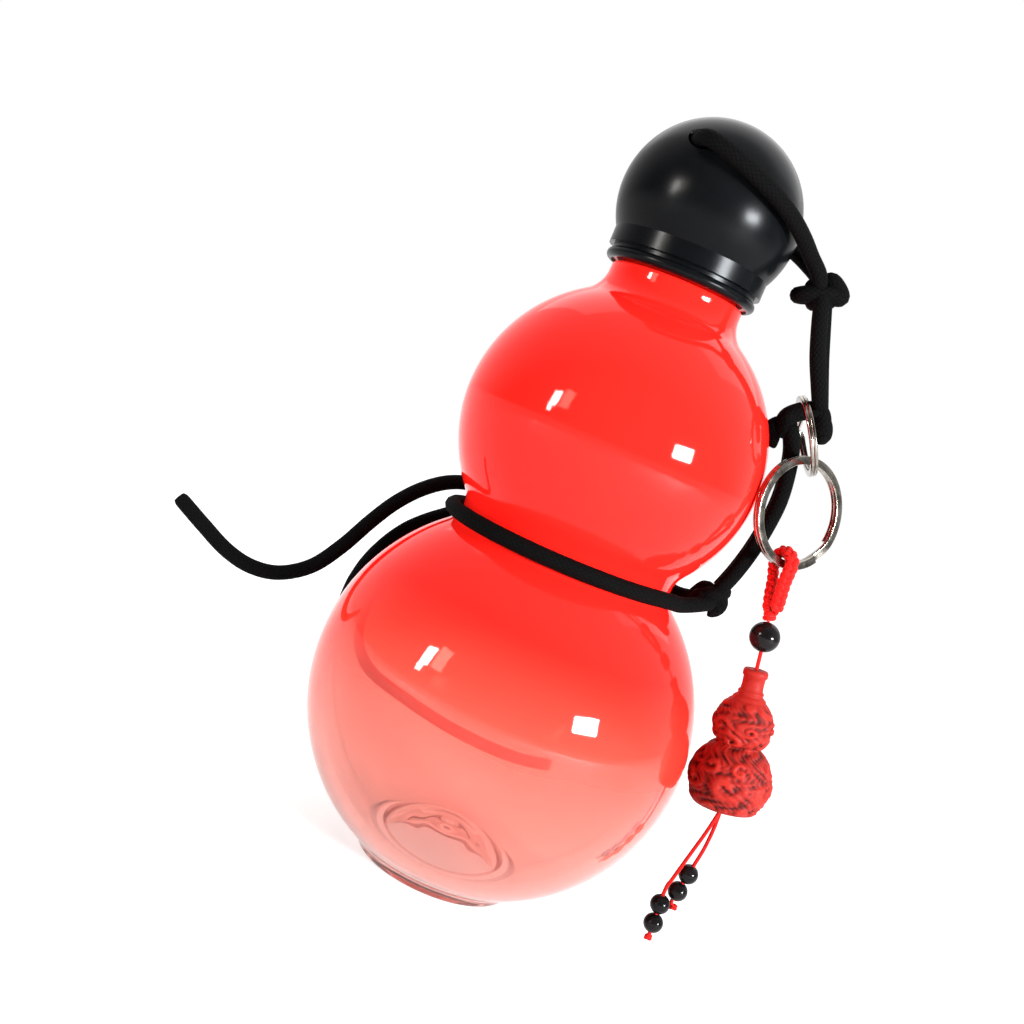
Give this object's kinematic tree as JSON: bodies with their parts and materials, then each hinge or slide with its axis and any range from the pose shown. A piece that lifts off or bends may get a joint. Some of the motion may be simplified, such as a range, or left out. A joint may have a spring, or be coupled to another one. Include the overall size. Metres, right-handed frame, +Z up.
{
  "type": "gourd water bottle",
  "caption": "Two-bulb gourd-shaped glass water bottle with a ball screw cap, a black knotted carrying cord with loose tails, split rings and a hanging beaded gourd charm.",
  "frame": {"origin": "centre of the foot, on the surface that the bottle stands on", "axes": "+Z up along the bottle's axis; +X towards the side where the knots, the rings and the charm hang; the tails of the cord lie on the -X and +Y sides"},
  "size_m": [0.1677, 0.098, 0.2015],
  "materials": {
    "red_glass": "gloss red lacquer that thins out to clear glass at the foot",
    "cap_black": "gloss",
    "liner": "moulded",
    "seal": "soft",
    "black_cord": "braided",
    "ring_metal": "nickel",
    "red_cord": "braided",
    "bead_black": "gloss",
    "charm_red": "moulded relief, satin"
  },
  "bodies": {
    "bottle": {"glass_body": "red_glass"},
    "strap": {"knot_upper": "black_cord", "strap_upper_front": "black_cord", "strap_upper_rear": "black_cord", "knot_middle": "black_cord", "strap_lower_front": "black_cord", "strap_lower_rear": "black_cord", "knot_lower": "black_cord", "waist_cord_front": "black_cord", "waist_cord_rear": "black_cord", "knot_rear": "black_cord", "tail_left": "black_cord", "tail_rear": "black_cord"},
    "cap": {"cap_shell": "cap_black", "cap_liner": "liner", "cap_seal": "seal", "cap_cord": "black_cord"},
    "small_ring": {"ring_small": "ring_metal"},
    "large_ring": {"ring_large": "ring_metal"},
    "charm": {"charm_loop": "red_cord", "charm_bead": "bead_black", "charm_string": "red_cord", "charm_gourd": "charm_red"},
    "tassel": {"tassel_string_long": "red_cord", "tassel_string_short": "red_cord", "tassel_beads": "bead_black", "tassel_knots": "red_cord"}
  },
  "joints": [
    {"name": "cap_turn", "type": "hinge", "parent": "bottle", "child": "strap", "pos_m": [0, 0, 0], "axis": [0, 0, 1], "range_deg": [0, 450]},
    {"name": "cap_rise", "type": "slide", "parent": "strap", "child": "cap", "axis": [0, 0, 1], "range_m": [0, 0.005]},
    {"name": "small_ring_swing", "type": "hinge", "parent": "strap", "child": "small_ring", "pos_m": [0.0404, -0.003, 0.1426], "axis": [-0.8572, 0, -0.515], "range_deg": [0, 18]},
    {"name": "large_ring_swing", "type": "hinge", "parent": "small_ring", "child": "large_ring", "pos_m": [0.04795, -0.003, 0.13004], "axis": [0, -1, 0], "range_deg": [0, 22]},
    {"name": "charm_swing", "type": "hinge", "parent": "large_ring", "child": "charm", "pos_m": [0.04978, -0.0073, 0.10707], "axis": [-0.809, -0.5878, 0], "range_deg": [0, 30]},
    {"name": "tassel_swing", "type": "hinge", "parent": "charm", "child": "tassel", "pos_m": [0.06052, -0.0073, 0.04581], "axis": [0, -1, 0], "range_deg": [-10, 25]}
  ],
  "couplings": [
    {"joint": "cap_rise", "follows": "cap_turn", "m_per_rad": 0.0006366}
  ]
}
